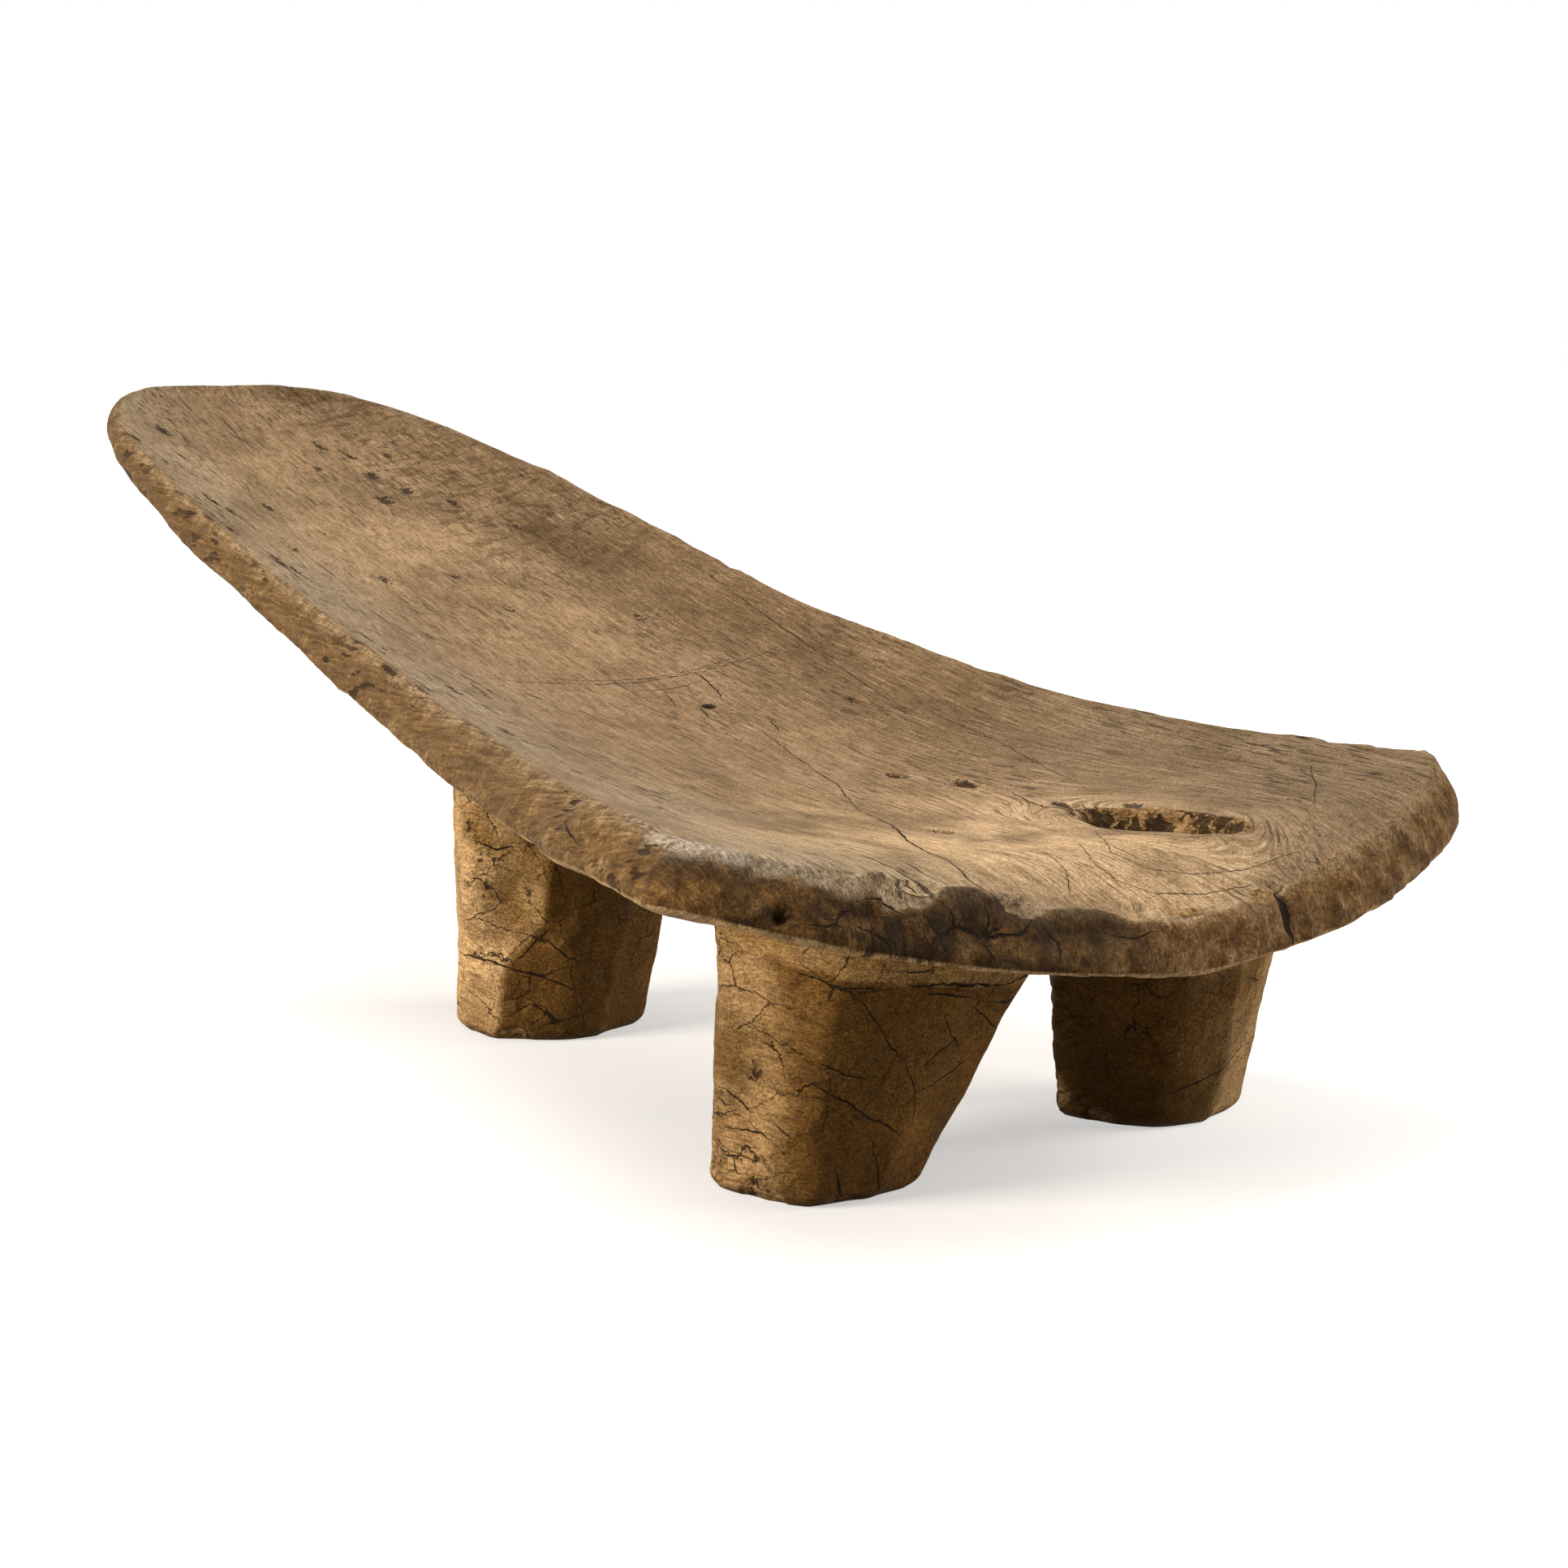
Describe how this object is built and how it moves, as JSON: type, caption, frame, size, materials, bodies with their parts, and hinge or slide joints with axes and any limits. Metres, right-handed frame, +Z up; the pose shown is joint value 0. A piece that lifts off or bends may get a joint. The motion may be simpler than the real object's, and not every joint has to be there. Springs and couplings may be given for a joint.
{
  "type": "chair",
  "caption": "Low reclining chair carved from one log, with a long dished seat and back that widens to the foot end and rises to a narrow head end, on stout tapered legs.",
  "frame": {"origin": "on the floor, under the middle of the chair's outer box", "axes": "+Y from the wide foot end to the raised head end, +X to the sitter's left, +Z up"},
  "size_m": [0.6704, 1.4256, 0.4855],
  "materials": {
    "seat_wood": "dry, worn hardwood with a dull hand-polished patina, greyer along the rim",
    "leg_wood": "dry, adze-cut hardwood, darker and less worn than the seat"
  },
  "bodies": {
    "root": {"seat": "seat_wood", "leg_front_right": "leg_wood", "leg_front_left": "leg_wood", "leg_rear": "leg_wood"}
  },
  "joints": []
}
